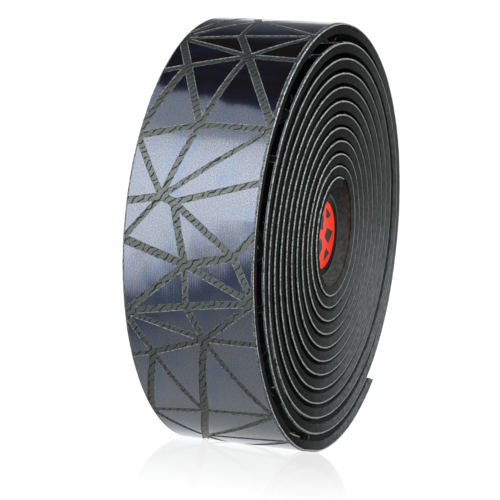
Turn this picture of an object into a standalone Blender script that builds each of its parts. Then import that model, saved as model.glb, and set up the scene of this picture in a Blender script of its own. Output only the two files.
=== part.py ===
"""A roll of handlebar tape with a bar-end plug in its core.

The tape is one laminated strip: face skin, foam base, adhesive strip and release liner. It is wound
about a horizontal axis along Y and stands on its edgewise rim, with a small flat where the outer turn
rests on Z = 0. The free tail of the outer turn is three short segments on hinges, and the plug slides
out of the core towards -Y. Run with Blender 4.5. Units are metres, +Z is up.
"""
import math

import bmesh
import bpy

MM = 0.001

# The strip, from its face inwards. Layers are kept apart by a thin bond gap.
TAPE_WIDTH = 30.0 * MM
SKIN_THICKNESS = 0.40 * MM
FOAM_THICKNESS = 1.65 * MM
ADHESIVE_THICKNESS = 0.12 * MM
LINER_THICKNESS = 0.08 * MM
BOND_GAP = 0.05 * MM
ADHESIVE_WIDTH = 10.0 * MM
LINER_WIDTH = 13.0 * MM

# The winding. A place along the strip is a number of turns counted from 3 o'clock, seen from -Y, so
# its fraction is the angle about the roll's axis and its whole part says which turn it is on.
STATIONS_PER_TURN = 30
START_TURN = 7 / STATIONS_PER_TURN
TAIL_TURN = 11 + 24 / STATIONS_PER_TURN
END_TURN = 11 + 26.8 / STATIONS_PER_TURN
TAIL_SEGMENTS = 3
TAIL_GAP = 0.3 * MM
CORE_RADIUS = 12.7 * MM
PITCH = 2.8 * MM
PITCH_GROWTH = 0.028 * MM
OUTER_SLACK = 0.8 * MM
SLACK_START = 10.6
SLACK_END = 11.2

# The innermost turn closes on itself as a slight oval that sags at the bottom, and the next turn
# climbs over its end. The oval and the climb fade away from the core.
CORE_OVAL = 0.7 * MM
CORE_SAG = 0.5 * MM
CORE_SAG_TURN = 0.77
CORE_SAG_SPREAD = 0.09
FADE_TURNS = 1.5
CLIMB_END = 0.21
CLIMB_LENGTH = 0.12

# The flat on which the roll stands.
CONTACT_WIDTH = 9.0 * MM
CONTACT_SAG = 0.2 * MM
BOTTOM_TURN = 11.75

# The plug: a cap that nearly fills the core, and a hollow, barbed and split shank behind it.
PLUG_RECESS = 3.3 * MM
PLUG_SHIFT_X = 0.45 * MM
PLUG_SHIFT_Z = -0.2 * MM
CAP_RADIUS = 9.9 * MM
CAP_THICKNESS = 2.4 * MM
CAP_CHAMFER = 0.7 * MM
INLAY_RADIUS = 7.8 * MM
INLAY_THICKNESS = 0.35 * MM
INLAY_CLEARANCE = 0.1 * MM
PLUG_LENGTH = 19.0 * MM
SHANK_RADIUS = 7.4 * MM
BORE_RADIUS = 6.0 * MM
BARB_HEIGHT = 1.1 * MM
BARB_PITCH = 4.4 * MM
BARB_COUNT = 3
SLIT_WIDTH = 1.2 * MM
SLIT_LENGTH = 9.0 * MM
PLUG_STEPS = 36


def clear_scene():
    for old in list(bpy.data.objects):
        bpy.data.objects.remove(old, do_unlink=True)


def make_material(name, color, roughness, metallic=0.0):
    material = bpy.data.materials.new(name)
    material.use_nodes = True
    shader = material.node_tree.nodes["Principled BSDF"]
    shader.inputs["Base Color"].default_value = (*color, 1.0)
    shader.inputs["Roughness"].default_value = roughness
    shader.inputs["Metallic"].default_value = metallic
    return material


def smooth_step(value):
    value = min(max(value, 0.0), 1.0)
    return value * value * (3.0 - 2.0 * value)


def face_radius(turn):
    """Distance from the roll's axis to the tape's outward face."""
    fade = math.exp((START_TURN - turn) / FADE_TURNS)
    laps = turn - CLIMB_END
    whole_laps = math.floor(laps)
    climb = smooth_step((laps - whole_laps - 1 + CLIMB_LENGTH) / CLIMB_LENGTH)
    grown = (1 - fade) * laps + fade * (whole_laps + climb)
    slack = OUTER_SLACK * smooth_step((turn - SLACK_START) / (SLACK_END - SLACK_START))
    oval = CORE_OVAL * fade * math.cos(4 * math.pi * turn)
    sag = CORE_SAG * math.exp(-(((turn - CORE_SAG_TURN) / CORE_SAG_SPREAD) ** 2))
    spiral = CORE_RADIUS + PITCH * grown + PITCH_GROWTH * laps * laps
    return spiral + slack + sag - oval


# The axis is placed so that the outer turn's left and right sides are level about X = 0.
AXIS_X = (face_radius(11.5) - face_radius(11.0)) / 2
AXIS_Z = face_radius(BOTTOM_TURN) - CONTACT_SAG


def strip_point(turn, depth):
    """X and Z of the point at a depth below the tape's face, on the radius of a place on the strip."""
    angle = 2 * math.pi * turn
    radius = face_radius(turn) - depth
    x = radius * math.cos(angle)
    z = radius * math.sin(angle)
    if abs(turn - BOTTOM_TURN) < 1 / STATIONS_PER_TURN:
        x = math.copysign(CONTACT_WIDTH / 2, turn - BOTTOM_TURN)
        z = depth - AXIS_Z
    return AXIS_X + x, AXIS_Z + z


def tail_station(index):
    """The place of tail joint 0, 1 or 2, or of the strip's end for 3."""
    return TAIL_TURN + index * (END_TURN - TAIL_TURN) / TAIL_SEGMENTS


def half_gap(turn):
    """Half of the gap between tail segments, in turns."""
    return TAIL_GAP / 2 / (2 * math.pi * face_radius(turn))


def stations(start, end):
    """The start, the whole stations in between, and the end."""
    first = math.floor(start * STATIONS_PER_TURN + 1 + 1e-6)
    last = math.ceil(end * STATIONS_PER_TURN - 1 - 1e-6)
    middle = [index / STATIONS_PER_TURN for index in range(first, last + 1)]
    return [start, *middle, end]


def add_object(name, mesh_builder, material):
    mesh = bpy.data.meshes.new(name)
    mesh_builder.to_mesh(mesh)
    mesh_builder.free()
    mesh.materials.append(material)
    made = bpy.data.objects.new(name, mesh)
    bpy.context.scene.collection.objects.link(made)
    return made


def add_strip(name, places, depth, thickness, width, material, origin=(0.0, 0.0)):
    """A layer of the tape between two places: one ring of four corners for each station."""
    builder = bmesh.new()
    rings = []
    for turn in places:
        ring = []
        for level, side in ((0, -1), (0, 1), (1, 1), (1, -1)):
            x, z = strip_point(turn, depth + level * thickness)
            ring.append(builder.verts.new((x - origin[0], side * width / 2, z - origin[1])))
        rings.append(ring)
    for ring, following in zip(rings, rings[1:]):
        for corner in range(4):
            beside = (corner + 1) % 4
            builder.faces.new((ring[corner], ring[beside], following[beside], following[corner]))
    builder.faces.new(rings[0])
    builder.faces.new(rings[-1])
    bmesh.ops.recalc_face_normals(builder, faces=builder.faces)
    made = add_object(name, builder, material)
    made.location = (origin[0], 0.0, origin[1])
    return made


def tape_layers():
    """Name, depth below the face, thickness, width and material of each layer, from the face in."""
    black_foam = make_material("foam", (0.018, 0.019, 0.020), 0.9)
    film_face = make_material("face", (0.030, 0.034, 0.050), 0.35)
    adhesive = make_material("adhesive", (0.55, 0.55, 0.50), 0.5)
    paper = make_material("liner", (0.70, 0.69, 0.64), 0.7)
    layers = (
        ("skin", SKIN_THICKNESS, TAPE_WIDTH, film_face),
        ("foam", FOAM_THICKNESS, TAPE_WIDTH, black_foam),
        ("adhesive", ADHESIVE_THICKNESS, ADHESIVE_WIDTH, adhesive),
        ("liner", LINER_THICKNESS, LINER_WIDTH, paper),
    )
    depth = 0.0
    for name, thickness, width, material in layers:
        yield name, depth, thickness, width, material
        depth += thickness + BOND_GAP


def build_tape():
    wound_names = {
        "skin": "face_skin",
        "foam": "foam_base",
        "adhesive": "adhesive_strip",
        "liner": "release_liner",
    }
    for name, depth, thickness, width, material in tape_layers():
        places = stations(START_TURN, TAIL_TURN - half_gap(TAIL_TURN))
        add_strip(wound_names[name], places, depth, thickness, width, material)
        for index in range(TAIL_SEGMENTS):
            start = tail_station(index)
            end = tail_station(index + 1)
            last = index == TAIL_SEGMENTS - 1
            places = stations(start + half_gap(start), end if last else end - half_gap(end))
            hinge = strip_point(start, 0.0)
            add_strip(f"{name}_tail_{index + 1}", places, depth, thickness, width, material, hinge)


def spin_profile(profile):
    """Turn a closed outline of (radius, y) points about the Y axis into one closed body."""
    builder = bmesh.new()
    outline = [builder.verts.new((radius, y, 0.0)) for radius, y in profile]
    for first, second in zip(outline, outline[1:]):
        builder.edges.new((first, second))
    bmesh.ops.spin(
        builder,
        geom=builder.verts[:] + builder.edges[:],
        cent=(0.0, 0.0, 0.0),
        axis=(0.0, 1.0, 0.0),
        angle=2 * math.pi,
        steps=PLUG_STEPS,
    )
    bmesh.ops.remove_doubles(builder, verts=builder.verts, dist=0.001 * MM)
    bmesh.ops.recalc_face_normals(builder, faces=builder.faces)
    return builder


def shank_outline(cap_back, plug_back):
    """The outside of the shank with its barbs, from the cap to the open end."""
    outline = [(SHANK_RADIUS, cap_back)]
    for index in range(BARB_COUNT):
        barb_front = plug_back - (BARB_COUNT - index) * BARB_PITCH + 0.5 * MM
        outline.append((SHANK_RADIUS, barb_front))
        outline.append((SHANK_RADIUS + BARB_HEIGHT, barb_front + 0.8 * MM))
        outline.append((SHANK_RADIUS + 0.4 * BARB_HEIGHT, barb_front + 0.6 * BARB_PITCH))
        outline.append((SHANK_RADIUS, barb_front + 0.8 * BARB_PITCH))
    outline.append((SHANK_RADIUS - 0.4 * MM, plug_back))
    return outline


def add_slit_cutter(name, size, centre):
    """A box that a Boolean takes out of the shank. It is not a part of the object."""
    builder = bmesh.new()
    bmesh.ops.create_cube(builder, size=1.0)
    bmesh.ops.scale(builder, vec=size, verts=builder.verts)
    bmesh.ops.translate(builder, vec=centre, verts=builder.verts)
    mesh = bpy.data.meshes.new(name)
    builder.to_mesh(mesh)
    builder.free()
    cutter = bpy.data.objects.new(name, mesh)
    bpy.context.scene.collection.objects.link(cutter)
    cutter.hide_render = True
    cutter.display_type = "WIRE"
    return cutter


def build_plug():
    plastic = make_material("plug_plastic", (0.012, 0.012, 0.014), 0.35)
    print_red = make_material("inlay_print", (0.85, 0.07, 0.02), 0.4)
    face_y = PLUG_RECESS - TAPE_WIDTH / 2
    cap_back = face_y + CAP_THICKNESS
    plug_back = face_y + PLUG_LENGTH
    place = (AXIS_X + PLUG_SHIFT_X, 0.0, AXIS_Z + PLUG_SHIFT_Z)
    seat_depth = INLAY_THICKNESS + INLAY_CLEARANCE
    seat_radius = INLAY_RADIUS + INLAY_CLEARANCE

    profile = [
        (0.0, face_y + seat_depth),
        (seat_radius, face_y + seat_depth),
        (seat_radius, face_y),
        (CAP_RADIUS - CAP_CHAMFER, face_y),
        (CAP_RADIUS, face_y + CAP_CHAMFER),
        (CAP_RADIUS, cap_back),
        *shank_outline(cap_back, plug_back),
        (BORE_RADIUS, plug_back),
        (BORE_RADIUS, cap_back),
        (0.0, cap_back),
    ]
    body = add_object("end_plug_body", spin_profile(profile), plastic)
    body.location = place
    body.data.shade_smooth()
    body.data.set_sharp_from_angle(angle=math.radians(30))
    slit_height = 4 * SHANK_RADIUS
    slit_y = plug_back + SLIT_LENGTH / 2
    for axis in (0, 2):
        size = [SLIT_WIDTH, 3 * SLIT_LENGTH, SLIT_WIDTH]
        size[axis] = slit_height
        cutter = add_slit_cutter(f"slit_cutter_{axis}", size, (0.0, slit_y, 0.0))
        cutter.location = place
        cut = body.modifiers.new(f"slit_{axis}", "BOOLEAN")
        cut.operation = "DIFFERENCE"
        cut.object = cutter

    inlay_profile = [
        (0.0, face_y),
        (INLAY_RADIUS - INLAY_CLEARANCE, face_y),
        (INLAY_RADIUS, face_y + INLAY_CLEARANCE),
        (INLAY_RADIUS, face_y + INLAY_THICKNESS),
        (0.0, face_y + INLAY_THICKNESS),
    ]
    inlay = add_object("end_plug_inlay", spin_profile(inlay_profile), print_red)
    inlay.location = place


def main():
    clear_scene()
    build_tape()
    build_plug()


main()
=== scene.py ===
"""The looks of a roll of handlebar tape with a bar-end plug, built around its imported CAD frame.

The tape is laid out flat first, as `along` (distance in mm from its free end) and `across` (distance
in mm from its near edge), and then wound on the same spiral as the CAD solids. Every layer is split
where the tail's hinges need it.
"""
import math

import bmesh
import bpy
import numpy as np
from mathutils import Matrix, Vector


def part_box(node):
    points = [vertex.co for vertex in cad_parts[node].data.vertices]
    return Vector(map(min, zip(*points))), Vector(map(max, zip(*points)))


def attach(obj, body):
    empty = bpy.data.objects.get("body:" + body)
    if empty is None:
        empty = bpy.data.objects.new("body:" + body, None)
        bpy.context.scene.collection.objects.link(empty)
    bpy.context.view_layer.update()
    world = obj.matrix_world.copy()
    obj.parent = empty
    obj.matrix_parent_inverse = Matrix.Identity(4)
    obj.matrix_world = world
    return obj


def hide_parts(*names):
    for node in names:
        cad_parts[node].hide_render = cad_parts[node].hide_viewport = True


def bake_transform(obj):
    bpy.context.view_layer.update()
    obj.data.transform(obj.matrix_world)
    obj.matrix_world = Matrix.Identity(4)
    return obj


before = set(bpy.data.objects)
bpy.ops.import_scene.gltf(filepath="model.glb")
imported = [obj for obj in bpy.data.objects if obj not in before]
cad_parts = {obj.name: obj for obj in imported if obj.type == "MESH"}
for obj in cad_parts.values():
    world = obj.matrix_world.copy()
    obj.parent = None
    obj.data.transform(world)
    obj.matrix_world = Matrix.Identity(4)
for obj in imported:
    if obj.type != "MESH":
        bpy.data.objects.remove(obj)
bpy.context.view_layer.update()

MM = 0.001

# The winding, in millimetres and turns, as the CAD part has it. Turns are counted from 3 o'clock.
STATIONS_PER_TURN = 30
START_TURN = 7 / STATIONS_PER_TURN
TAIL_TURN = 11 + 24 / STATIONS_PER_TURN
END_TURN = 11 + 26.8 / STATIONS_PER_TURN
CORE_RADIUS = 12.7
PITCH = 2.8
PITCH_GROWTH = 0.028
OUTER_SLACK = 0.8
SLACK_START = 10.6
SLACK_END = 11.2
CORE_OVAL = 0.7
CORE_SAG = 0.5
CORE_SAG_TURN = 0.77
CORE_SAG_SPREAD = 0.09
FADE_TURNS = 1.5
CLIMB_END = 0.21
CLIMB_LENGTH = 0.12
CONTACT_SAG = 0.2
BOTTOM_TURN = 11.75

# Depths of the layers below the outermost face, in millimetres.
GROUND_TOP = 0.13
SKIN_BOTTOM = 0.45
FOAM_BOTTOM = 2.10
ADHESIVE_DEPTHS = (2.15, 2.27)
LINER_DEPTHS = (2.32, 2.40)

# The foam swells where it is cut, which narrows the gaps between turns as far as this from an edge.
FOAM_SWELL = 0.30
FOAM_SWELL_REACH = 3.5

# From here on the face's edge is pressed flat instead of fanning out.
PRESSED_TURN = 11.41

# The free end is cut at a slant, so the face reaches further than the foam's back.
END_SLANT = 0.0022
END_SLANT_TURNS = 0.02

# The roll isn't wound perfectly true. Along the axis the inner turns lean, the outer turn sits a
# little off, and two stretches are shifted: (distance, turn, spread in turns). Across it, the middle
# turns are skewed, and every turn wavers a little.
INNER_LEAN = 0.50
SHIFTS = ((-0.60, 10.40, 0.27), (0.45, 10.98, 0.14))
OUTER_SHIFT = 0.20
SKEW = 0.6
WAVER = 0.03
WAVERS_PER_TURN = 4.7

# Where the roll rests, it is pressed flat over this many turns each way, with a soft bend.
REST_TURNS = 0.1
REST_BEND = 0.1


def frame_width(node_name):
    low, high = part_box(node_name)
    return (high.y - low.y) / MM


TAPE_WIDTH = frame_width("foam_base")
ADHESIVE_WIDTH = frame_width("adhesive_strip")
LINER_WIDTH = frame_width("release_liner")

# The facet pattern: one repeat of junctions as (along, across), on the near edge, the far edge and
# between them, and the plain bands that join them as (junction, junction, width). A + marks a
# junction of the next repeat.
PATTERN_REPEAT = 133.5
NEAR_JUNCTIONS = (59.0, 71.5, 92.5, 102.0, 116.5, 127.5, 139.5, 159.5, 170.5)
FAR_JUNCTIONS = (68.5, 86.5, 97.5, 113.5, 121.5, 136.0, 153.5, 166.0)
MIDDLE_JUNCTIONS = (
    (55.5, 21.5), (70.5, 16.5), (88.0, 24.5), (92.5, 12.0), (100.0, 15.5), (109.0, 15.5),
    (111.5, 4.5), (122.0, 19.0), (123.0, 22.0), (139.5, 16.5), (155.5, 24.5), (160.0, 12.0),
    (168.5, 17.0), (180.0, 17.5),
)
BANDS = (
    ("f8", "m14", 1.0), ("f8", "m13", 1.0), ("f8", "m12", 1.2), ("f8", "m11", 1.5),
    ("m13", "m14", 1.0), ("m13", "m12", 1.5), ("m13", "n9", 1.0), ("m14", "n9", 1.0),
    ("n9", "m12", 1.1), ("m12", "n8", 1.3), ("m12", "m11", 1.3), ("m11", "f7", 1.2),
    ("m11", "f6", 1.6), ("m11", "m10", 1.5), ("m12", "m10", 1.3), ("m12", "n7", 1.6),
    ("m10", "f6", 1.4), ("m10", "n7", 1.3), ("m10", "m9", 1.2), ("n7", "m9", 1.0),
    ("f6", "m9", 1.2), ("f5", "m9", 1.4), ("m9", "m8", 1.6), ("m9", "f4", 1.0),
    ("m8", "n6", 1.2), ("m8", "m7", 1.35), ("m8", "m6", 1.5), ("m6", "f4", 1.7),
    ("m6", "m7", 1.65), ("m6", "n4", 1.3), ("m6", "f3", 1.3), ("m6", "m5", 1.0),
    ("m7", "n5", 1.4), ("m7", "n4", 1.4), ("m5", "n4", 1.4), ("m5", "f3", 1.4),
    ("m5", "m4", 1.4), ("n4", "m4", 1.3), ("m4", "f3", 1.1), ("f3", "m3", 1.2),
    ("m3", "m4", 1.3), ("m3", "f2", 1.0), ("m3", "f1", 1.4), ("m3", "m2", 1.0),
    ("m4", "m2", 1.6), ("m4", "n3", 1.2), ("m4", "n2", 1.1), ("f1", "m2", 1.1),
    ("m2", "n2", 1.1), ("m2", "m1", 1.4), ("f1", "m1", 1.0), ("n2", "m1", 1.0),
    ("m1", "n1", 1.0), ("m14", "m1+", 1.4), ("m14", "n1+", 1.2), ("f8", "m1+", 1.2),
)

# The ground left bare along each edge, wider on the near edge over a stretch of the tape.
EDGE_MARGIN = 0.30
WIDE_MARGIN = 0.80
WIDE_MARGIN_ALONG = (118.0, 150.0, 235.0, 260.0)

# A facet's rim as (inset, height) rings, and the height above which its face swells a little, by
# (height, rate along, rate across). Facets cover only the outermost turns, as no others are seen.
FILM_RINGS = ((0.0, -0.05), (0.0, 0.07), (0.05, 0.115), (0.16, 0.13))
RIM_HEIGHT = 0.1
FILM_SWELLS = ((0.005, 0.55, 0.4), (0.0035, -0.35, 0.9))
FILM_TURNS = 2.3

# The size of the pieces that a facet is divided into, so that it can follow the roll.
CELL_ALONG = 1.0
CELL_ACROSS = 1.5

# Lint on the near side: turn, depth, heading in radians and length in mm.
LINT = (
    (11.496, 4.2, 0.2, 6.0), (11.508, 3.0, 1.0, 3.0), (11.515, 3.6, 2.2, 2.4), (11.640, 2.4, 0.5, 3.4),
    (11.405, 2.4, 1.0, 1.8), (11.300, 3.0, 0.6, 2.4), (11.740, 2.6, 1.4, 1.6), (10.620, 1.2, 0.9, 1.8),
)
LINT_RADIUS = 0.035
LINT_POINTS = 12

# A scrap of dried glue on the near side, lying along the foam.
GLUE_TURN = 11.710
GLUE_DEPTH = 2.0
GLUE_LENGTH = 6.8
GLUE_SLOPE = 0.17
GLUE_RADIUS = 0.20

# Length along the outer turns is turned into turns at about this radius.
OUTER_RADIUS = 46.0

# The end plug.
CAP_THICKNESS = 2.4
BARB_PITCH = 4.4
BARB_COUNT = 3
SLIT_WIDTH = 1.2
SLIT_LENGTH = 9.0
SLIT_CUTTER = (30.0, 27.0)

# The camera, in millimetres and degrees, aimed at the roll's axis.
CAMERA_AZIMUTH = -68.07
CAMERA_ELEVATION = -3.8
CAMERA_ROLL = 6.63
CAMERA_DISTANCE = 499.8
CAMERA_SHIFT_RIGHT = -4.5
CAMERA_SHIFT_UP = -4.73
CAMERA_SHIFT_Y = 1.2
CAMERA_LENS = 156.7


def smooth_step(value):
    value = np.clip(value, 0.0, 1.0)
    return value * value * (3.0 - 2.0 * value)


def hump(turn, center, spread):
    """1 at the centre, falling away smoothly on both sides."""
    return np.exp(-(((turn - center) / spread) ** 2))


def face_radius(turn):
    """Distance from the roll's axis to the tape's outward face."""
    fade = np.exp((START_TURN - turn) / FADE_TURNS)
    laps = turn - CLIMB_END
    whole_laps = np.floor(laps)
    climb = smooth_step((laps - whole_laps - 1 + CLIMB_LENGTH) / CLIMB_LENGTH)
    grown = (1 - fade) * laps + fade * (whole_laps + climb)
    slack = OUTER_SLACK * smooth_step((turn - SLACK_START) / (SLACK_END - SLACK_START))
    oval = CORE_OVAL * fade * np.cos(4 * math.pi * turn)
    sag = CORE_SAG * hump(turn, CORE_SAG_TURN, CORE_SAG_SPREAD)
    spiral = CORE_RADIUS + PITCH * grown + PITCH_GROWTH * laps * laps
    return spiral + slack + sag - oval


AXIS_X = float(face_radius(11.5) - face_radius(11.0)) / 2
AXIS_Z = float(face_radius(BOTTOM_TURN)) - CONTACT_SAG

TURN_TABLE = np.linspace(START_TURN, END_TURN, 12001)
RADIUS_TABLE = face_radius(TURN_TABLE)
TABLE_STEPS = np.hypot(
    np.diff(RADIUS_TABLE * np.cos(2 * math.pi * TURN_TABLE)),
    np.diff(RADIUS_TABLE * np.sin(2 * math.pi * TURN_TABLE)),
)
ALONG_TABLE = np.concatenate(([0.0], np.cumsum(TABLE_STEPS)))
ALONG_TABLE = ALONG_TABLE[-1] - ALONG_TABLE


def turn_at(along):
    return np.interp(-along, -ALONG_TABLE, TURN_TABLE)


def along_at(turn):
    return np.interp(turn, TURN_TABLE, ALONG_TABLE)


def edge_drift(turn):
    """How far the turns are shifted along the axis."""
    inner = smooth_step((turn - 0.8) / 1.8) * smooth_step((10.1 - turn) / 0.5)
    drift = INNER_LEAN * inner * np.cos(2 * math.pi * (turn + 0.05))
    for distance, center, spread in SHIFTS:
        drift = drift + distance * hump(turn, center, spread)
    return drift + OUTER_SHIFT * smooth_step((turn - 10.9) / 0.3)


def skew(turn):
    """The middle turns lean out of round, towards 1 and 7 o'clock."""
    grown = smooth_step((turn - 4.3) / 4.0) * smooth_step((10.7 - turn) / 1.3)
    return SKEW * grown * np.sin(4 * math.pi * turn)


def wrap(turn, across, depth):
    """Where a point of the flat tape lies on the wound roll, in metres."""
    near_end = smooth_step((turn - END_TURN + END_SLANT_TURNS) / END_SLANT_TURNS)
    turn = turn - near_end * END_SLANT * depth
    angle = 2 * math.pi * turn
    waver = WAVER * np.sin(2 * math.pi * WAVERS_PER_TURN * turn)
    radius = face_radius(turn) + skew(turn) - depth + waver
    x = radius * np.cos(angle)
    z = radius * np.sin(angle)
    resting = np.abs(turn - BOTTOM_TURN) < REST_TURNS
    floor = depth - AXIS_Z
    pressed = 0.5 * (z + floor + np.sqrt((z - floor) ** 2 + REST_BEND ** 2))
    z = np.where(resting, pressed, z)
    y = across - TAPE_WIDTH / 2 + edge_drift(turn)
    return np.stack(np.broadcast_arrays((AXIS_X + x) * MM, y * MM, (AXIS_Z + z) * MM), axis=-1)


# ---------------------------------------------------------------- meshes

def link_object(name, data):
    made = bpy.data.objects.new(name, data)
    bpy.context.scene.collection.objects.link(made)
    return made


def finish_mesh(name, builder, material=None):
    """The object of a bmesh, which is used up."""
    mesh = bpy.data.meshes.new(name)
    builder.to_mesh(mesh)
    builder.free()
    if material is not None:
        mesh.materials.append(material)
    return link_object(name, mesh)


def mesh_object(name, points, faces, flat, materials, sharp, face_slots=None):
    mesh = bpy.data.meshes.new(name)
    mesh.from_pydata(points.tolist(), [], faces)
    attribute = mesh.attributes.new("flat", "FLOAT_VECTOR", "POINT")
    attribute.data.foreach_set("vector", np.asarray(flat, np.float32).ravel())
    for material in materials:
        mesh.materials.append(material)
    if face_slots is not None:
        mesh.polygons.foreach_set("material_index", np.asarray(face_slots, np.int32))
    mesh.shade_smooth()
    mesh.set_sharp_from_angle(angle=math.radians(sharp))
    mesh.update()
    return link_object(name, mesh)


def loft(name, turns, across, depth, materials, sharp, point_slots=None):
    """A closed strip: a ring of (across, depth) points at each turn, capped at both ends.

    Edges stay sharp above the angle in degrees.
    """
    turn, across, depth = np.broadcast_arrays(turns[:, None], across, depth)
    rings, corners = turn.shape
    points = wrap(turn, across, depth).reshape(-1, 3)
    flat = np.stack((along_at(turn), across, -depth), axis=-1).reshape(-1, 3)
    ring, corner = np.meshgrid(np.arange(rings - 1), np.arange(corners), indexing="ij")
    beside = (corner + 1) % corners
    low = ring * corners
    high = low + corners
    quads = np.stack((low + corner, low + beside, high + beside, high + corner), axis=-1)
    faces = quads.reshape(-1, 4).tolist()
    faces.append(list(range(corners - 1, -1, -1)))
    faces.append([(rings - 1) * corners + corner for corner in range(corners)])
    slots = None
    if point_slots is not None:
        slots = list(point_slots) * (rings - 1) + [point_slots[-1]] * 2
    return mesh_object(name, points, faces, flat, materials, sharp, slots)


def strip_turns(start, end, step_degrees):
    count = max(2, math.ceil((end - start) * 360 / step_degrees) + 1)
    return np.linspace(start, end, count)


def uneven(turns, seed, size):
    """A small irregular wander along the strip, for a cut edge."""
    along = along_at(turns)
    waves = ((0.31, 1.0), (0.83, 0.7), (1.97, 0.5), (4.1, 0.35))
    total = sum(
        weight * np.sin(rate * along + seed * (3.7 + 5.1 * index))
        for index, (rate, weight) in enumerate(waves)
    )
    return size * total / 2.0


def edge_ring(tops, inset_near, inset_far, depths):
    """A ring from the near top corner over the top to the far side, round under it and back up."""
    top = np.broadcast_to(tops, (len(inset_near), len(tops)))
    across = np.concatenate((top, TAPE_WIDTH - inset_far, inset_near[:, ::-1]), axis=1)
    depth = np.concatenate((np.full(len(tops), depths[0]), depths, depths[::-1]))
    return across, depth[None, :]


# ---------------------------------------------------------------- materials

class Graph:
    """Short ways to add nodes to a node tree."""

    def __init__(self, tree):
        self.tree = tree

    def node(self, kind, settings=None, **inputs):
        made = self.tree.nodes.new(kind)
        for key, value in (settings or {}).items():
            setattr(made, key, value)
        for key, value in inputs.items():
            self.feed(made.inputs[key.replace("_", " ")], value)
        return made

    def feed(self, socket, value):
        if isinstance(value, bpy.types.NodeSocket):
            self.tree.links.new(value, socket)
        else:
            socket.default_value = value

    def math(self, operation, first, second=0.0):
        made = self.node("ShaderNodeMath", {"operation": operation})
        self.feed(made.inputs[0], first)
        self.feed(made.inputs[1], second)
        return made.outputs[0]

    def clamp(self, value, low, high):
        return self.node("ShaderNodeClamp", Value=value, Min=low, Max=high).outputs[0]

    def invert(self, value):
        return self.math("SUBTRACT", 1.0, value)

    def vector(self, operation, first, second=(0.0, 0.0, 0.0)):
        """A vector operation, which gives a number where that is what it works out."""
        made = self.node("ShaderNodeVectorMath", {"operation": operation})
        self.feed(made.inputs[0], first)
        self.feed(made.inputs[1], second)
        gives_number = operation in ("DOT_PRODUCT", "DISTANCE", "LENGTH")
        return made.outputs["Value" if gives_number else "Vector"]

    def split(self, vector):
        return self.node("ShaderNodeSeparateXYZ", Vector=vector).outputs

    def ramp(self, value, *stops):
        made = self.node("ShaderNodeValToRGB", Fac=value)
        elements = made.color_ramp.elements
        while len(elements) < len(stops):
            elements.new(1.0)
        for element, (position, color) in zip(elements, stops):
            element.position = position
            element.color = (*color, 1.0)
        return made.outputs["Color"]

    def mask(self, value, low, high):
        """0 at low and 1 at high, smooth between and level beyond. Low may be the larger number."""
        made = self.node("ShaderNodeMapRange", {"interpolation_type": "SMOOTHSTEP"}, Value=value)
        self.feed(made.inputs["From Min"], low)
        self.feed(made.inputs["From Max"], high)
        return made.outputs[0]

    def mix(self, share, first, second, blend="MIX"):
        made = self.node("ShaderNodeMix", {"data_type": "RGBA", "blend_type": blend})
        self.feed(made.inputs["Factor"], share)
        self.feed(made.inputs[6], first)
        self.feed(made.inputs[7], second)
        return made.outputs[2]

    def noise(self, vector, scale=1.0, detail=2.0, roughness=0.5):
        """Noise of a vector, scaled by one number or by one for each axis."""
        if isinstance(scale, tuple):
            mapping = self.node("ShaderNodeMapping", Vector=vector)
            mapping.inputs["Scale"].default_value = scale
            vector = mapping.outputs[0]
            scale = 1.0
        made = self.node("ShaderNodeTexNoise", Vector=vector, Scale=scale, Detail=detail)
        made.inputs["Roughness"].default_value = roughness
        return made.outputs["Fac"]


class Look(Graph):
    """A Principled material."""

    def __init__(self, name, color=(0.5, 0.5, 0.5), roughness=0.5, metallic=0.0):
        self.material = bpy.data.materials.new(name)
        self.material.use_nodes = True
        super().__init__(self.material.node_tree)
        self.shader = self.tree.nodes["Principled BSDF"]
        self.set("Base Color", (*color, 1.0))
        self.set("Roughness", roughness)
        self.set("Metallic", metallic)

    def set(self, socket, value):
        self.feed(self.shader.inputs[socket], value)

    def flat(self):
        """Along, across and height on the flat tape, in millimetres."""
        return self.node("ShaderNodeAttribute", {"attribute_name": "flat"}).outputs["Vector"]

    def place(self):
        """Position in the piece's own space, in millimetres."""
        place = self.node("ShaderNodeTexCoord").outputs["Object"]
        return self.vector("MULTIPLY", place, (1 / MM, 1 / MM, 1 / MM))

    def relief(self, *layers):
        """Stacks (height, depth in mm) layers of bump on the shader's normal."""
        normal = None
        for height, depth in layers:
            made = self.node("ShaderNodeBump", Height=height)
            made.inputs["Strength"].default_value = 1.0
            made.inputs["Distance"].default_value = depth * MM
            if normal is not None:
                self.feed(made.inputs["Normal"], normal)
            normal = made.outputs["Normal"]
        self.set("Normal", normal)


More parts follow.
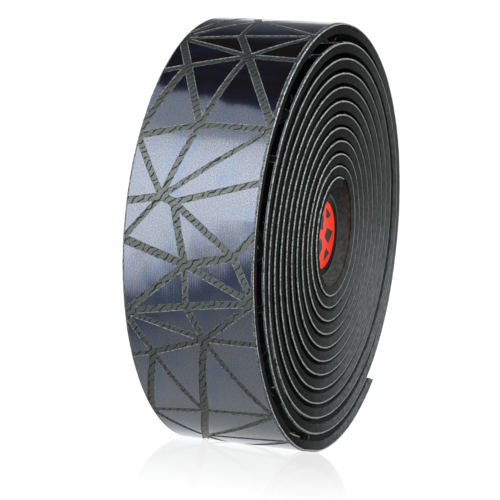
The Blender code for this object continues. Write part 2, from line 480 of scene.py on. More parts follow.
def film_material():
    """Glossy dark film over a fine canvas: pale blue-grey where it mirrors light, else navy."""
    look = Look("film", roughness=0.06, metallic=1.0)
    flat = look.flat()
    tint = look.ramp(
        look.noise(flat, (0.09, 0.13, 0.0), 3.0, 0.6),
        (0.34, (0.39, 0.47, 0.64)),
        (0.44, (0.44, 0.505, 0.61)),
        (0.52, (0.46, 0.51, 0.59)),
        (0.60, (0.45, 0.485, 0.60)),
        (0.68, (0.41, 0.49, 0.63)),
    )
    grain = look.noise(flat, (2.8, 3.4, 0.0), 2.0, 0.75)
    speckle = look.ramp(
        grain,
        (0.30, (0.66, 0.70, 0.78)),
        (0.51, (0.98, 0.98, 0.98)),
        (0.72, (1.34, 1.28, 1.20)),
    )
    look.set("Base Color", look.mix(1.0, tint, speckle, "MULTIPLY"))
    threads = [
        look.node(
            "ShaderNodeTexWave",
            {"bands_direction": direction},
            Vector=flat,
            Scale=0.57,
            Distortion=1.6,
            Detail=1.0,
        ).outputs["Fac"]
        for direction in ("X", "Y")
    ]
    weave = look.math("MULTIPLY", *threads)
    swell = look.noise(flat, (0.16, 0.22, 0.0), 1.0)
    pucker = look.noise(flat, (0.7, 0.5, 0.0), 1.0)
    look.relief((swell, 0.0065), (pucker, 0.0028), (weave, 0.0008))
    return look.material


def rim_material():
    """The film's cut rim, painted pale grey as a painted highlight of the film's step, which shows as
    a pale broken outline.
    """
    look = Look("film_rim", roughness=0.45)
    grain = look.noise(look.flat(), 1.9, 1.0)
    # Painted highlight: the speckled pale grey stands in for the light that the film's step catches.
    look.set("Base Color", look.ramp(grain, (0.40, (0.06, 0.065, 0.07)), (0.58, (0.20, 0.215, 0.22))))
    return look.material


def ground_material():
    """Satin grey coat between the facets, embossed with slanting wavy grooves. The grooves are painted
    near-black as painted shade, and the turns deep inside the roll are painted darker as painted
    shade.
    """
    look = Look("ground", roughness=0.36, metallic=0.90)
    flat = look.flat()
    sway = look.math("SINE", look.vector("DOT_PRODUCT", flat, (1.9, -1.6, 0.0)))
    wander = look.noise(flat, 0.42, 2.0)
    phase = look.vector("DOT_PRODUCT", flat, (3.25, 3.7, 0.0))
    phase = look.math("ADD", phase, look.math("MULTIPLY", wander, 7.0))
    phase = look.math("ADD", phase, look.math("MULTIPLY", sway, 0.8))
    groove = look.mask(look.math("SINE", phase), 0.70, 0.97)
    groove = look.math("MULTIPLY", groove, look.mask(look.noise(flat, 0.8, 1.0), 0.30, 0.42))
    grain = look.noise(flat, 3.0, 3.0, 0.6)
    coat = look.ramp(grain, (0.3, (0.200, 0.222, 0.214)), (0.7, (0.262, 0.288, 0.276)))
    # Painted shade: turns deep inside the roll (past 300 mm along) are painted darker, as little light
    # gets between them.
    painted_inner_turn_shade = look.mask(look.split(flat)[0], 300.0, 420.0)
    coat = look.mix(painted_inner_turn_shade, coat, (0.070, 0.076, 0.072, 1.0))
    # Painted shade: the grooves are painted near-black for the shadow that falls in them.
    look.set("Base Color", look.mix(groove, coat, (0.040, 0.046, 0.043, 1.0)))
    look.relief((look.invert(groove), 0.07), (grain, 0.012))
    return look.material


def cut_edge_material():
    """The skin's cut edge: pale, fuzzy and speckled. Towards the roll's +X side it is painted an even,
    duller grey as painted light and shade, for the softer, hazier light there.
    """
    look = Look("cut_edge", roughness=0.85)
    flat = look.flat()
    grain = look.noise(flat, (2.3, 3.0, 3.0), 2.0, 0.7)
    color = look.ramp(
        grain,
        (0.36, (0.03, 0.035, 0.035)),
        (0.46, (0.22, 0.25, 0.245)),
        (0.60, (0.54, 0.59, 0.58)),
    )
    # Painted light and shade: towards the roll's +X side the speckle gives way to an even grey, as the
    # edge looks in the light there.
    plus_x_painted_light = look.mask(look.split(look.place())[0], -15.0, 42.0)
    look.set("Base Color", look.mix(plus_x_painted_light, color, (0.34, 0.37, 0.37, 1.0)))
    look.relief((grain, 0.08))
    return look.material


def foam_material():
    """Black closed-cell foam with a few pale specks, felted on its back, and painted paler in the core
    as painted light.

    Its cut edge is painted grey on the roll's +X side as painted light, most of all low down.
    """
    look = Look("foam", roughness=0.95)
    look.set("Specular IOR Level", 0.25)
    place = look.place()
    mottle = look.noise(place, 0.9, 4.0, 0.65)
    cells = look.node("ShaderNodeTexVoronoi", Vector=place, Scale=3.4)
    x, _, z = look.split(place)
    from_axis = look.vector("MULTIPLY", place, (1.0, 0.0, 1.0))
    from_axis = look.vector("DISTANCE", from_axis, (AXIS_X, 0.0, AXIS_Z))
    across = look.split(look.flat())[1]
    from_edge = look.math("MINIMUM", across, look.math("SUBTRACT", TAPE_WIDTH, across))
    back = look.mask(from_edge, 0.40, 0.80)
    core = look.mask(from_axis, 17.0, 13.0)
    # Painted light: towards the roll's +X side the cut edge is painted from black to grey, and paler
    # still low down, for the light that falls there.
    low_down = look.mask(z, 68.0, 34.0)
    plus_x_painted_light = look.mix(low_down, (0.052, 0.054, 0.053, 1.0), (0.128, 0.140, 0.142, 1.0))
    color = look.mix(look.mask(x, -12.0, 40.0), (0.008, 0.008, 0.008, 1.0), plus_x_painted_light)
    # The felted back's dark grey is its own colour; the paler grey in the core is painted light, where
    # lamplight reaches the core's wall.
    felt_and_painted_core_light = look.mix(core, (0.060, 0.063, 0.060, 1.0), (0.165, 0.190, 0.178, 1.0))
    color = look.mix(back, color, felt_and_painted_core_light)
    wear = look.ramp(mottle, (0.35, (0.6, 0.6, 0.6)), (0.70, (1.4, 1.4, 1.4)))
    color = look.mix(1.0, color, wear, "MULTIPLY")
    specks = look.mask(look.noise(place, 5.5, 1.0), 0.72, 0.80)
    look.set("Base Color", look.mix(specks, color, (0.08, 0.082, 0.08, 1.0)))
    look.relief((cells.outputs["Distance"], 0.05), (mottle, 0.08))
    return look.material


def adhesive_material():
    look = Look("adhesive", roughness=0.35)
    bubbles = look.noise(look.flat(), 0.8, 3.0)
    look.set("Base Color", look.ramp(bubbles, (0.4, (0.62, 0.60, 0.50)), (0.6, (0.70, 0.68, 0.58))))
    look.relief((bubbles, 0.02))
    return look.material


def liner_material():
    """Waxed backing paper with faint fibres."""
    look = Look("liner", roughness=0.45)
    fibres = look.noise(look.flat(), (0.6, 3.0, 0.0), 4.0, 0.6)
    look.set("Base Color", look.ramp(fibres, (0.35, (0.62, 0.61, 0.56)), (0.65, (0.72, 0.71, 0.66))))
    look.relief((fibres, 0.015))
    return look.material


def plug_material(rim_radius):
    """Black moulded plastic with a satin sheen; along the cap's rim it is painted slate grey as a
    painted highlight.
    """
    look = Look("plug_plastic")
    place = look.place()
    from_axis = look.vector("LENGTH", look.vector("MULTIPLY", place, (1.0, 0.0, 1.0)))
    # Painted highlight: the cap's rounded rim is painted slate grey for the light it catches.
    rim = look.mask(from_axis, rim_radius - 0.75, rim_radius - 0.35)
    look.set("Base Color", look.mix(rim, (0.006, 0.006, 0.007, 1.0), (0.075, 0.085, 0.098, 1.0)))
    haze = look.noise(place, 0.5)
    look.set("Roughness", look.math("MULTIPLY", look.math("ADD", haze, 0.5), 0.34))
    look.relief((look.noise(place, 5.0), 0.010))
    return look.material


def print_material(name, low, high):
    """A printed coat whose tone wanders a little."""
    look = Look(name, roughness=0.42)
    place = look.place()
    look.set("Base Color", look.ramp(look.noise(place, 0.8, 3.0), (0.3, low), (0.7, high)))
    look.relief((look.noise(place, 6.0), 0.006))
    return look.material


# ---------------------------------------------------------------- the facet pattern

def junction_points(repeat):
    shift = repeat * PATTERN_REPEAT
    points = {}
    for index, along in enumerate(NEAR_JUNCTIONS, 1):
        points[f"n{index}"] = (along + shift, 0.0)
    for index, along in enumerate(FAR_JUNCTIONS, 1):
        points[f"f{index}"] = (along + shift, TAPE_WIDTH)
    for index, (along, across) in enumerate(MIDDLE_JUNCTIONS, 1):
        points[f"m{index}"] = (along + shift, across)
    return points


def pattern_graph(repeats):
    """Junction points, neighbours of each, and the band width of each link, over several repeats."""
    points = {}
    widths = {}
    for repeat in repeats:
        for name, point in junction_points(repeat).items():
            points[name, repeat] = point
    for repeat in repeats:
        for first, second, width in BANDS:
            end = (second.rstrip("+"), repeat + second.count("+"))
            if end in points:
                widths[(first, repeat), end] = width
    for edge in (0.0, TAPE_WIDTH):
        along_edge = sorted((k for k in points if points[k][1] == edge), key=lambda k: points[k])
        for first, second in zip(along_edge, along_edge[1:]):
            wide = 0.0
            if edge == 0.0:
                wide = np.interp(points[first][0], WIDE_MARGIN_ALONG, (0.0, 1.0, 1.0, 0.0))
            widths[first, second] = 2 * (EDGE_MARGIN + wide * (WIDE_MARGIN - EDGE_MARGIN))
    widths.update({(second, first): width for (first, second), width in list(widths.items())})
    neighbours = {key: [] for key in points}
    for first, second in widths:
        neighbours[first].append(second)
    return points, neighbours, widths


def bearing(origin, target):
    return math.atan2(target[1] - origin[1], target[0] - origin[0])


def facet_loops(repeats):
    """Walks round each face of the pattern: lists of (corner point, width of the band after it)."""
    points, neighbours, widths = pattern_graph(repeats)
    following = {}
    for here, around in neighbours.items():
        around.sort(key=lambda k: bearing(points[here], points[k]))
        for index, source in enumerate(around):
            following[source, here] = (here, around[index - 1])
    walked = set()
    for link in sorted(following, key=str):
        loop = []
        while link not in walked:
            walked.add(link)
            loop.append((points[link[0]], widths[link]))
            link = following[link]
        if len(loop) >= 3 and signed_area([corner for corner, _ in loop]) > 0:
            yield loop


def signed_area(corners):
    total = 0.0
    for (x0, y0), (x1, y1) in zip(corners, corners[1:] + corners[:1]):
        total += x0 * y1 - x1 * y0
    return total / 2


def without_straight_corners(loop):
    kept = []
    for index, (corner, width) in enumerate(loop):
        before = loop[index - 1][0]
        after = loop[(index + 1) % len(loop)][0]
        turn = bearing(corner, after) - bearing(before, corner)
        if abs(math.sin(turn)) > 0.01:
            kept.append((corner, width))
    return kept


def inset(loop):
    """The outline left when each side moves inwards by half of its width, or None if none is."""
    sides = []
    for index, (start, width) in enumerate(loop):
        end = loop[(index + 1) % len(loop)][0]
        direction = Vector((end[0] - start[0], end[1] - start[1])).normalized()
        inward = Vector((-direction.y, direction.x))
        sides.append((Vector(start) + inward * width / 2, direction))
    corners = []
    for index, (point, direction) in enumerate(sides):
        before_point, before_direction = sides[index - 1]
        across = before_direction.cross(direction)
        reach = (point - before_point).cross(direction) / across
        corners.append(before_point + before_direction * reach)
    for index, (_, direction) in enumerate(sides):
        if (corners[(index + 1) % len(corners)] - corners[index]).dot(direction) <= 0.05:
            return None
    return corners


def facet_outlines(repeats):
    for loop in facet_loops(repeats):
        corners = inset(without_straight_corners(loop))
        if corners is not None and signed_area([tuple(c) for c in corners]) > 0.8:
            yield corners


def film_patch(corners):
    """A facet of film as a flat closed body: sides, a bevelled rim and a top."""
    patch = bmesh.new()
    rings = []
    for shrink, height in FILM_RINGS:
        outline = inset([(tuple(corner), 2 * shrink) for corner in corners])
        if outline is None:
            patch.free()
            return None
        rings.append([patch.verts.new((corner.x, corner.y, height)) for corner in outline])
    for lower, upper in zip(rings, rings[1:]):
        for index in range(len(corners)):
            beside = (index + 1) % len(corners)
            side = patch.faces.new((lower[index], lower[beside], upper[beside], upper[index]))
            side.material_index = 1
    patch.faces.new(rings[-1])
    patch.faces.new(rings[0][::-1])
    return patch


def cut(patch, place, normal, keep_below=False, keep_above=False):
    found = bmesh.ops.bisect_plane(
        patch,
        geom=patch.verts[:] + patch.edges[:] + patch.faces[:],
        dist=1e-5,
        plane_co=place,
        plane_no=normal,
        clear_outer=keep_below,
        clear_inner=keep_above,
    )
    if keep_below or keep_above:
        rim = [item for item in found["geom_cut"] if isinstance(item, bmesh.types.BMEdge)]
        if rim:
            bmesh.ops.contextual_create(patch, geom=rim)


def divide(patch, axis, size):
    values = [vertex.co[axis] for vertex in patch.verts]
    normal = Vector((0.0, 0.0, 0.0))
    normal[axis] = 1.0
    for step in range(math.floor(min(values) / size) + 1, math.ceil(max(values) / size)):
        cut(patch, normal * step * size, normal)


def build_film(name, start, end, outlines, materials):
    """All facets of film between two distances along the tape, wound onto the roll."""
    flats = []
    faces = []
    slots = []
    for corners in outlines:
        low = min(corner.x for corner in corners)
        high = max(corner.x for corner in corners)
        if high <= start or low >= end:
            continue
        patch = film_patch(corners)
        if patch is None:
            continue
        if low < start:
            cut(patch, (start, 0, 0), (1, 0, 0), keep_above=True)
        if high > end:
            cut(patch, (end, 0, 0), (1, 0, 0), keep_below=True)
        divide(patch, 0, CELL_ALONG)
        divide(patch, 1, CELL_ACROSS)
        patch.verts.index_update()
        offset = len(flats)
        flats.extend(tuple(vertex.co) for vertex in patch.verts)
        faces.extend([vertex.index + offset for vertex in face.verts] for face in patch.faces)
        slots.extend(face.material_index for face in patch.faces)
        patch.free()
    flat = np.array(flats)
    swell = sum(
        height * np.sin(rate_along * flat[:, 0] + rate_across * flat[:, 1])
        for height, rate_along, rate_across in FILM_SWELLS
    )
    depth = GROUND_TOP - flat[:, 2] + np.where(flat[:, 2] > RIM_HEIGHT, swell, 0.0)
    points = wrap(turn_at(flat[:, 0]), flat[:, 1], depth)
    return mesh_object(name, points, faces, flat, materials, 6, slots)


# ---------------------------------------------------------------- the strip's layers

def build_foam(name, start, end, materials):
    turns = strip_turns(start, end, 2.0)
    steps = 9
    depths = np.append(np.linspace(SKIN_BOTTOM, FOAM_BOTTOM + FOAM_SWELL, steps), FOAM_BOTTOM)
    level = np.append(np.linspace(-1.0, 1.0, steps), 1.0)
    rounding = 0.08 + 0.20 * np.clip(level, 0, 1) ** 2 + 0.06 * np.clip(-level, 0, 1) ** 3
    rounding[-1] = FOAM_SWELL_REACH
    rough = 0.05 * np.sin(7.0 * level[None, :] + 2.1 * along_at(turns)[:, None])
    near, far = (rounding + rough + uneven(turns, seed, 0.05)[:, None] for seed in (1.0, 2.0))
    tops = np.linspace(2.0, TAPE_WIDTH - 2.0, 5)
    across, depth = edge_ring(tops, near, far, depths)
    return loft(name, turns, across, depth, materials, 50)


def build_skin(name, start, end, materials):
    turns = strip_turns(start, end, 1.0)
    depths = np.array([GROUND_TOP, GROUND_TOP + 0.05, 0.30, 0.40, SKIN_BOTTOM])
    rounding = np.array([0.16, 0.07, 0.02, 0.0, 0.06])
    pressed = 1.0 - 0.55 * smooth_step((turns - PRESSED_TURN) / 0.1)[:, None]
    near, far = (rounding * pressed + uneven(turns, seed, 0.03)[:, None] for seed in (3.0, 4.0))
    tops = np.linspace(0.4, TAPE_WIDTH - 0.4, 13)
    across, depth = edge_ring(tops, near, far, depths)
    edge_slots = [1] * (len(depths) - 1) + [0]
    slots = [0] * len(tops) + edge_slots + edge_slots
    return loft(name, turns, across, depth, materials, 60, slots)


def build_backing(name, start, end, depths, width, materials):
    turns = strip_turns(start, end, 2.5)
    top, bottom = depths
    low = (TAPE_WIDTH - width) / 2
    wander = uneven(turns, 5.0 + width, 0.10)[:, None]
    across = np.array([low, TAPE_WIDTH / 2, TAPE_WIDTH - low, TAPE_WIDTH - low, low])[None, :]
    depth = np.array([top, top, top, bottom, bottom])[None, :]
    return loft(name, turns, across + wander, depth, materials, 40)


def tail_places():
    """The roll and three tail pieces: name, start and end turn, and the two bodies of each."""
    segment = (END_TURN - TAIL_TURN) / 3
    seams = [TAIL_TURN - segment / 2, TAIL_TURN + segment / 2, TAIL_TURN + 1.5 * segment, END_TURN]
    yield "wound", START_TURN, seams[0], None
    bodies = ("wound_tape", "tail_1", "tail_2", "tail_3")
    for index in range(3):
        hinge = TAIL_TURN + index * segment
        bend = (bodies[index], bodies[index + 1], hinge - segment / 2, hinge + segment / 2)
        yield f"tail_{index + 1}", seams[index], seams[index + 1], bend


def place_piece(piece, bend):
    if bend is None:
        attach(piece, "wound_tape")
    else:
        first, second, start, end = bend
        middle = TAPE_WIDTH / 2
        tuple(wrap(np.array(start), middle, SKIN_BOTTOM))
        tuple(wrap(np.array(end), middle, SKIN_BOTTOM))
        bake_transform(piece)


def build_tape():
    foam = [foam_material()]
    skin = [ground_material(), cut_edge_material()]
    film = [film_material(), rim_material()]
    adhesive = [adhesive_material()]
    liner = [liner_material()]
    outlines = list(facet_outlines(range(-1, 6)))
    film_start = END_TURN - FILM_TURNS
    for name, start, end, bend in tail_places():
        foam_piece = build_foam(f"foam_{name}", start, end, foam)
        skin_piece = build_skin(f"skin_{name}", start, end, skin)
        low = float(along_at(end))
        high = float(along_at(max(start, film_start)))
        film_piece = build_film(f"film_{name}", low, high, outlines, film)
        adhesive_piece = build_backing(
            f"adhesive_{name}", start, end, ADHESIVE_DEPTHS, ADHESIVE_WIDTH, adhesive
        )
        liner_piece = build_backing(f"liner_{name}", start, end, LINER_DEPTHS, LINER_WIDTH, liner)
        place_piece(foam_piece, bend)
        place_piece(skin_piece, bend)
        place_piece(film_piece, bend)
        place_piece(adhesive_piece, bend)
        place_piece(liner_piece, bend)
        wound = bend is None
        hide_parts("foam_base" if wound else f"foam_{name}")
        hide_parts("face_skin" if wound else f"skin_{name}")
        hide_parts("adhesive_strip" if wound else f"adhesive_{name}")
        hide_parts("release_liner" if wound else f"liner_{name}")


# ---------------------------------------------------------------- lint and glue

def build_thread(name, points, radius, material):
    """A thin three-sided tube through the points."""
    count = len(points)
    ahead = np.gradient(points, axis=0)
    ahead /= np.linalg.norm(ahead, axis=1)[:, None]
    side = np.cross(ahead, (0.0, 1.0, 0.001))
    side /= np.linalg.norm(side, axis=1)[:, None]
    other = np.cross(ahead, side)
    taper = np.sin(np.linspace(0.25, math.pi - 0.25, count))[:, None] * radius * MM
    rings = [
        points + taper * (math.cos(angle) * side + math.sin(angle) * other)
        for angle in (0.0, 2 * math.pi / 3, 4 * math.pi / 3)
    ]
    vertices = np.stack(rings, axis=1).reshape(-1, 3)
    faces = [(0, 2, 1), (3 * count - 3, 3 * count - 2, 3 * count - 1)]
    for low in range(0, 3 * count - 3, 3):
        for corner in range(3):
            beside = (corner + 1) % 3
            faces.append((low + corner, low + beside, low + 3 + beside, low + 3 + corner))
    flat = np.zeros_like(vertices)
    thread = mesh_object(name, vertices, faces, flat, [material], 80)
    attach(thread, "wound_tape")


def build_lint():
    """A few fibres caught on the near side, and a scrap of dried glue inside the outer turn."""
    fibre = Look("lint", color=(0.50, 0.52, 0.50), roughness=0.9).material
    for index, (turn, depth, heading, length) in enumerate(LINT):
        steps = np.linspace(0.0, 1.0, LINT_POINTS)
        bend = heading + 0.6 * np.sin(4.0 * steps + 2.0 * index)
        stride = length / (LINT_POINTS - 1)
        turns = turn + np.cumsum(stride * np.cos(bend)) / (2 * math.pi * OUTER_RADIUS)
        depths = depth + np.cumsum(stride * np.sin(bend))
        lift = -0.12 - 0.22 * np.sin(math.pi * steps)
        build_thread(f"lint_{index + 1}", wrap(turns, lift, depths), LINT_RADIUS, fibre)
    glue = Look("dried_glue", color=(0.24, 0.22, 0.15), roughness=0.5).material
    reach = np.linspace(-GLUE_LENGTH / 2, GLUE_LENGTH / 2, 8)
    turns = GLUE_TURN + reach / (2 * math.pi * OUTER_RADIUS)
    depths = GLUE_DEPTH + GLUE_SLOPE * reach
    build_thread("glue_scrap", wrap(turns, -0.15, depths), GLUE_RADIUS, glue)


# ---------------------------------------------------------------- the plug

def turned(name, profile, material):
    """A closed body of revolution about the plug's axis from (radius, y) points in millimetres."""
    builder = bmesh.new()
    outline = [builder.verts.new((radius * MM, y * MM, 0.0)) for radius, y in profile]
    for first, second in zip(outline, outline[1:]):
        builder.edges.new((first, second))
    bmesh.ops.spin(
        builder,
        geom=builder.verts[:] + builder.edges[:],
        cent=(0.0, 0.0, 0.0),
        axis=(0.0, 1.0, 0.0),
        angle=2 * math.pi,
        steps=96,
    )
    bmesh.ops.remove_doubles(builder, verts=builder.verts, dist=0.001 * MM)
    bmesh.ops.recalc_face_normals(builder, faces=builder.faces)
    made = finish_mesh(name, builder, material)
    made.data.shade_smooth()
    made.data.set_sharp_from_angle(angle=math.radians(35))
    return made


def arc(center_radius, center_y, size, start, end, count=6):
    """Points round a rounded corner, by angles in degrees from the outward direction."""
    for angle in np.radians(np.linspace(start, end, count)):
        yield center_radius + size * math.cos(angle), center_y + size * math.sin(angle)


def build_plug():
    low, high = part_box("end_plug_body")
    inlay_low, inlay_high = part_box("end_plug_inlay")
    center = Vector(((low.x + high.x) / 2, 0.0, (low.z + high.z) / 2))
    face = low.y / MM
    back = high.y / MM
    cap_radius = (high.x - low.x) / 2 / MM
    inlay_radius = (inlay_high.x - inlay_low.x) / 2 / MM
    cap_back = face + CAP_THICKNESS
    shank = 7.4
    bore = 6.0

    profile = [(0.0, face + 0.42), (inlay_radius + 0.1, face + 0.42), (inlay_radius + 0.1, face + 0.1)]
    profile += [(inlay_radius + 0.2, face)]
    profile += [(cap_radius - 0.85, face), (cap_radius - 0.7, face - 0.12)]
    profile += arc(cap_radius - 0.4, face + 0.15, 0.4, -110, 0, 8)
    profile += arc(cap_radius - 0.3, cap_back - 0.3, 0.3, 0, 90, 4)
    profile += [(shank + 0.3, cap_back), (shank, cap_back + 0.3)]
    for index in range(BARB_COUNT):
        front = back - (BARB_COUNT - index) * BARB_PITCH + 0.5
        profile += [(shank, front), (shank + 0.95, front + 0.65)]
        profile += [(shank + 1.05, front + 0.9), (shank + 0.95, front + 1.1)]
        profile += [(shank + 0.35, front + 2.8), (shank, front + 3.5)]
    profile += [(shank - 0.4, back - 0.1), (shank - 0.5, back)]
    profile += [(bore + 0.15, back), (bore, back - 0.15)]
    profile += [(bore, cap_back + 0.4), (bore - 0.4, cap_back), (0.0, cap_back)]
    body = turned("plug_body", profile, plug_material(cap_radius))
    body.location = center
    cutter_width, cutter_length = SLIT_CUTTER
    middle = back - SLIT_LENGTH + cutter_length / 2
    for axis in (0, 2):
        size = [SLIT_WIDTH * MM, cutter_length * MM, SLIT_WIDTH * MM]
        size[axis] = cutter_width * MM
        slit = bmesh.new()
        bmesh.ops.create_cube(slit, size=1.0)
        bmesh.ops.scale(slit, vec=size, verts=slit.verts)
        bmesh.ops.translate(slit, vec=(0.0, middle * MM, 0.0), verts=slit.verts)
        cutter = finish_mesh("slit", slit)
        cutter.location = center
        modifier = body.modifiers.new("slit", "BOOLEAN")
        modifier.operation = "DIFFERENCE"
        modifier.object = cutter
        bpy.context.view_layer.objects.active = body
        bpy.context.view_layer.update()
        bpy.ops.object.modifier_apply(modifier=modifier.name)
        bpy.data.objects.remove(cutter)

    red = print_material("inlay_red", (0.84, 0.036, 0.010), (0.94, 0.048, 0.014))
    black = print_material("inlay_black", (0.0030, 0.0030, 0.0035), (0.0055, 0.0055, 0.0060))
    disc_profile = [(0.0, face - 0.02)]
    disc_profile += arc(inlay_radius - 0.12, face + 0.12, 0.12, -90, 0, 4)
    disc_profile += [(inlay_radius, face + 0.35), (0.0, face + 0.35)]
    disc = turned("plug_inlay", disc_profile, red)
    motif = build_motif("plug_motif", face - 0.02, black)
    for piece, slot_name in ((body, "plug_plastic"), (disc, "inlay_print"), (motif, "inlay_print")):
        piece.location = center
        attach(piece, "end_plug")
    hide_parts("end_plug_body")
    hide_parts("end_plug_inlay")


def build_motif(name, y, material):
    """A plain pinwheel of kite-shaped blades with a chip between each two, just proud of the disc."""
    shapes = (
        ((1.2, -24), (4.4, -30), (6.2, 4), (3.0, 30)),
        ((4.6, 52), (6.3, 44), (6.3, 76), (4.2, 70)),
    )
    builder = bmesh.new()
    for turned_by in (10, 130, 250):
        for shape in shapes:
            sides = []
            for level in (y - 0.04, y + 0.05):
                sides.append([])
                for radius, degrees in shape:
                    angle = math.radians(degrees + turned_by)
                    corner = (radius * math.cos(angle) * MM, level * MM, radius * math.sin(angle) * MM)
                    sides[-1].append(builder.verts.new(corner))
            front, rear = sides
            for index in range(len(shape)):
                beside = (index + 1) % len(shape)
                builder.faces.new((front[index], front[beside], rear[beside], rear[index]))
            builder.faces.new(front[::-1])
            builder.faces.new(rear)
    bmesh.ops.recalc_face_normals(builder, faces=builder.faces)
    return finish_mesh(name, builder, material)


# ---------------------------------------------------------------- the studio

def build_camera():
    azimuth = math.radians(CAMERA_AZIMUTH)
    elevation = math.radians(CAMERA_ELEVATION)
    roll = math.radians(CAMERA_ROLL)
    back = Vector((
        math.sin(azimuth) * math.cos(elevation),
        -math.cos(azimuth) * math.cos(elevation),
        math.sin(elevation),
    ))
    level = Vector((math.cos(azimuth), math.sin(azimuth), 0.0))
    upright = back.cross(level)
    right = math.cos(roll) * level + math.sin(roll) * upright
    up = math.cos(roll) * upright - math.sin(roll) * level
    target = Vector((AXIS_X, CAMERA_SHIFT_Y, AXIS_Z))
    place = target + back * CAMERA_DISTANCE + right * CAMERA_SHIFT_RIGHT + up * CAMERA_SHIFT_UP
    camera_data = bpy.data.cameras.new("camera")
    camera_data.lens = CAMERA_LENS
    camera_data.clip_start = 0.01
    camera = link_object("camera", camera_data)
    rotation = Matrix((right, up, back)).transposed().to_4x4()
    camera.matrix_world = Matrix.Translation(place * MM) @ rotation
    bpy.context.scene.camera = camera


# The studio's light as seen round the roll's axis: (degrees from +X through +Z, colour), for the
# half above the floor and the half below. The panels' edges aren't parallel to the axis, so each half
# is turned by a little that depends on how far the direction leans along the axis.
UPPER_SKY = (
    (0, (1.0, 1.0, 1.0)), (20, (0.95, 0.95, 0.95)), (25, (0.80, 0.80, 0.80)),
    (28, (0.30, 0.30, 0.30)), (34, (0.14, 0.14, 0.14)), (46, (0.07, 0.07, 0.068)),
    (54, (0.035, 0.035, 0.035)), (66, (0.019, 0.015, 0.012)), (98, (0.020, 0.0155, 0.013)),
    (109, (0.020, 0.018, 0.028)), (111, (0.32, 0.33, 0.37)), (131, (0.38, 0.38, 0.40)),
    (136, (0.52, 0.52, 0.53)), (139, (0.82, 0.82, 0.82)), (147, (1.0, 1.0, 1.0)),
    (160, (1.08, 1.07, 1.06)), (180, (1.0, 1.0, 1.0)),
)
LOWER_SKY = (
    (-180, (1.0, 1.0, 1.0)), (-169, (0.97, 0.97, 0.97)), (-160, (0.70, 0.70, 0.72)),
    (-152, (0.47, 0.48, 0.52)), (-145, (0.36, 0.37, 0.42)), (-140, (0.09, 0.10, 0.14)),
    (-130, (0.075, 0.085, 0.12)), (-118, (0.15, 0.155, 0.17)), (-90, (0.25, 0.25, 0.245)),
    (-70, (0.31, 0.305, 0.29)), (-58, (0.29, 0.285, 0.265)), (-48, (0.35, 0.345, 0.32)),
    (-40, (0.44, 0.435, 0.40)), (-30, (0.62, 0.61, 0.58)), (-20, (0.84, 0.83, 0.80)),
    (0, (1.0, 1.0, 1.0)),
)
SKY_LEAN = 0.445
SLANT_LIMIT = 22.0

# Each half: its colours, the degrees it is turned for each unit of lean, and the degrees over which
# that sets in and, if it does, ends again.
SKIES = (
    (UPPER_SKY, 225.0, (70.0, 100.0), (112.0, 142.0)),
    (LOWER_SKY, -450.0, (-80.0, -120.0), None),
)

# Navy clouds show only where the sky is dark.
CLOUD = (0.007, 0.011, 0.038)
CLOUD_SCALE = (7.0, 45.0, 7.0)

# How bright the sky is for matte surfaces, and how bright the backdrop is behind the roll.
DIFFUSE_SKY = 0.12
BACKDROP = 1.05

# The floor's mirror image is full at the first distance from the roll, in metres, and gone at the
# second.
FLOOR_WHITE = 1.03
MIRROR = 0.32
MIRROR_FADE = (0.06, 0.44)

# Soft lamps: name, place and size in metres, and power in watts.
PANELS = (
    ("key", (-0.7, 0.16, 0.22), 0.3, 7.0),
    ("front", (-0.12, -0.48, 0.16), 0.25, 2.8),
)
PANEL_TARGET = (0.0, 0.0, 0.05)


def build_world():
    world = bpy.data.worlds.new("studio")
    bpy.context.scene.world = world
    world.use_nodes = True
    world.node_tree.nodes.clear()
    graph = Graph(world.node_tree)
    direction = graph.node("ShaderNodeTexCoord").outputs["Generated"]
    x, y, z = graph.split(direction)
    degrees = graph.math("MULTIPLY", graph.math("ARCTAN2", z, x), 180 / math.pi)
    squares = graph.math("ADD", graph.math("MULTIPLY", x, x), graph.math("MULTIPLY", z, z))
    lean = graph.math("DIVIDE", y, graph.math("SQRT", squares))
    lean = graph.math("SUBTRACT", lean, SKY_LEAN)
    halves = []
    for stops, slant, sets_in, ends in SKIES:
        turned_by = graph.clamp(graph.math("MULTIPLY", lean, slant), -SLANT_LIMIT, SLANT_LIMIT)
        turned_by = graph.math("MULTIPLY", turned_by, graph.mask(degrees, *sets_in))
        if ends is not None:
            left = graph.invert(graph.mask(degrees, *ends))
            turned_by = graph.math("MULTIPLY", turned_by, left)
        low = stops[0][0]
        share = graph.math("SUBTRACT", graph.math("ADD", degrees, turned_by), low)
        share = graph.math("DIVIDE", share, 180)
        halves.append(graph.ramp(share, *(((angle - low) / 180, color) for angle, color in stops)))
    color = graph.mix(graph.math("GREATER_THAN", z, 0.0), halves[1], halves[0])
    red = graph.node("ShaderNodeSeparateColor", Color=color).outputs[0]
    darkness = graph.clamp(graph.invert(graph.math("MULTIPLY", red, 6.0)), 0.0, 1.0)
    cloud = graph.mask(graph.noise(direction, CLOUD_SCALE, 3.0, 0.6), 0.48, 0.64)
    cloud = graph.math("MULTIPLY", cloud, darkness)
    color = graph.mix(cloud, color, graph.mix(1.0, color, (*CLOUD, 1.0), "ADD"))
    rays = graph.node("ShaderNodeLightPath")
    dimming = graph.math("MULTIPLY", rays.outputs["Is Diffuse Ray"], DIFFUSE_SKY - 1.0)
    sky = graph.node("ShaderNodeBackground", Color=color, Strength=graph.math("ADD", dimming, 1.0))
    backdrop = graph.node("ShaderNodeBackground", Color=(1.0, 1.0, 1.0, 1.0), Strength=BACKDROP)
    either = graph.node("ShaderNodeMixShader", Fac=rays.outputs["Is Camera Ray"])
    graph.feed(either.inputs[1], sky.outputs[0])
    graph.feed(either.inputs[2], backdrop.outputs[0])
    graph.node("ShaderNodeOutputWorld", Surface=either.outputs[0])


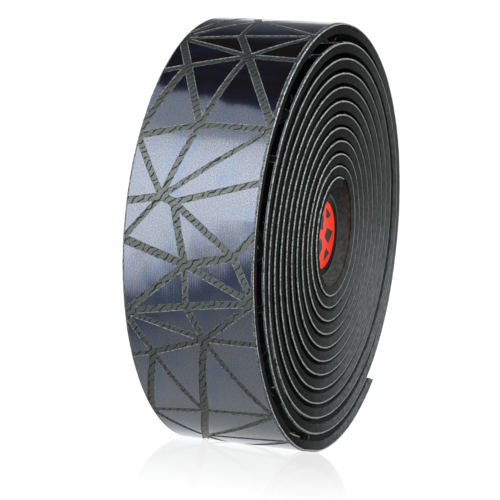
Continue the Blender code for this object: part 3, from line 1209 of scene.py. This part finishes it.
def add_panel(name, place, size, power):
    """A soft square lamp that lights matte surfaces and stays out of reflections."""
    data = bpy.data.lights.new(name, "AREA")
    data.size = size
    data.energy = power
    lamp = link_object(name, data)
    lamp.location = place
    aim = Vector(PANEL_TARGET) - Vector(place)
    lamp.rotation_euler = aim.to_track_quat("-Z", "Y").to_euler()
    lamp.visible_glossy = False
    lamp.visible_camera = False


def build_floor():
    """White and bright by itself, with a mirror image that fades away from the roll."""
    material = bpy.data.materials.new("floor")
    material.use_nodes = True
    material.node_tree.nodes.clear()
    graph = Graph(material.node_tree)
    place = graph.node("ShaderNodeNewGeometry").outputs["Position"]
    away = graph.vector("DISTANCE", place, (AXIS_X * MM, 0.0, 0.0))
    fade = graph.mask(away, *MIRROR_FADE)
    gloss = graph.mix(fade, (MIRROR, MIRROR, MIRROR, 1.0), (0.0, 0.0, 0.0, 1.0))
    share = graph.math("MULTIPLY", graph.math("SUBTRACT", fade, 1.0), MIRROR)
    strength = graph.math("ADD", share, FLOOR_WHITE)
    glow = graph.node("ShaderNodeEmission", Color=(1.0, 1.0, 1.0, 1.0), Strength=strength)
    matte = graph.node("ShaderNodeBsdfDiffuse", Color=(0.08, 0.08, 0.08, 1.0))
    mirror = graph.node("ShaderNodeBsdfAnisotropic", Color=gloss, Roughness=0.04)
    surface = glow.outputs[0]
    for layer in (matte, mirror):
        both = graph.node("ShaderNodeAddShader")
        graph.feed(both.inputs[0], surface)
        graph.feed(both.inputs[1], layer.outputs[0])
        surface = both.outputs[0]
    graph.node("ShaderNodeOutputMaterial", Surface=surface)
    bpy.ops.mesh.primitive_plane_add(size=12.0, location=(0.0, 0.0, 0.0))
    floor = bpy.context.object
    floor.name = "floor"
    floor.data.materials.append(material)
    floor.visible_glossy = False
    floor.visible_diffuse = False


def build_studio():
    build_world()
    build_floor()
    for panel in PANELS:
        add_panel(*panel)


bpy.context.scene.view_settings.view_transform = "Standard"
build_camera()
build_tape()
build_plug()
build_lint()
build_studio()
